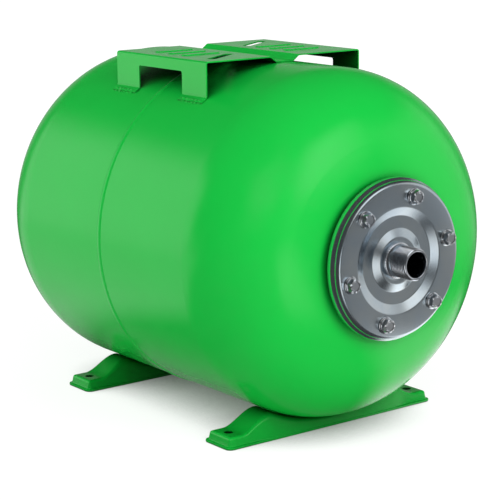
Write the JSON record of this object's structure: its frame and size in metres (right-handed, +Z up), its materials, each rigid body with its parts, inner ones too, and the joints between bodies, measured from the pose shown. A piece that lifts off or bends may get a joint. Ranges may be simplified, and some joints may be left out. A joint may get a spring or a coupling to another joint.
{
  "type": "pressure tank",
  "caption": "Horizontal steel diaphragm tank for a water pump: pump bracket on top, two pressed feet, bolted cover with a threaded nipple, air valve at the rear.",
  "frame": {"origin": "on the floor under the middle of the tank's overall length, where the feet stand", "axes": "+X along the tank's axis towards the water nipple, +Y to the tank's left as seen from its rear end, +Z up"},
  "size_m": [0.5776, 0.3772, 0.3953],
  "materials": {
    "green_powder_coat": "glossy powder coat",
    "zinc_plate": "zinc plated, bright",
    "brass": "turned",
    "rubber": "moulded, dull",
    "black_plastic": "moulded, fine grain"
  },
  "bodies": {
    "root": {"front_shell": "green_powder_coat", "rear_shell": "green_powder_coat", "girth_weld": "green_powder_coat", "front_foot": "green_powder_coat", "rear_foot": "green_powder_coat", "pump_bracket": "green_powder_coat", "bracket_welds": "green_powder_coat", "clamp_ring": "zinc_plate", "cover_flange": "zinc_plate", "nipple_weld": "zinc_plate", "water_nipple": "zinc_plate", "bladder": "rubber", "flange_bolts": "zinc_plate", "valve_boss": "green_powder_coat", "valve_seal": "rubber", "valve_stem": "brass", "valve_core": "brass", "dust_cap": "black_plastic", "valve_guard": "black_plastic"}
  },
  "joints": []
}
